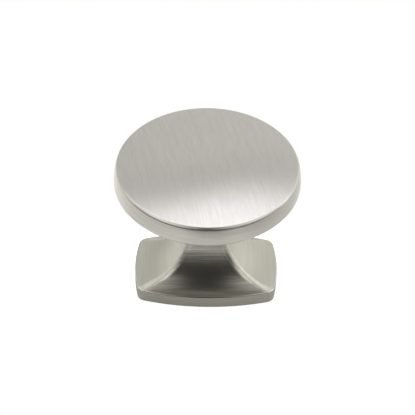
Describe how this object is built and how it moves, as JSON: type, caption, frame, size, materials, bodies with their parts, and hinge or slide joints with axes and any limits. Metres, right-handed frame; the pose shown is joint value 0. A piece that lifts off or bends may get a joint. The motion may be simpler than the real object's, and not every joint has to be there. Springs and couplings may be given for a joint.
{
  "type": "cabinet knob",
  "caption": "One-piece metal cabinet knob with a round domed head, a waisted square neck and a bowed rectangular foot, tapped from below.",
  "frame": {"origin": "centre of the foot's flat underside, on the axis of the screw hole", "axes": "+Z out from the cabinet door through the neck and head, +X along the foot's longer side, +Y along its shorter side"},
  "size_m": [0.032, 0.032, 0.0273],
  "materials": {
    "brushed_nickel": "satin nickel plating, brushed in fine straight lines, over a zinc alloy casting"
  },
  "bodies": {
    "root": {"knob_body": "brushed_nickel"}
  },
  "joints": []
}
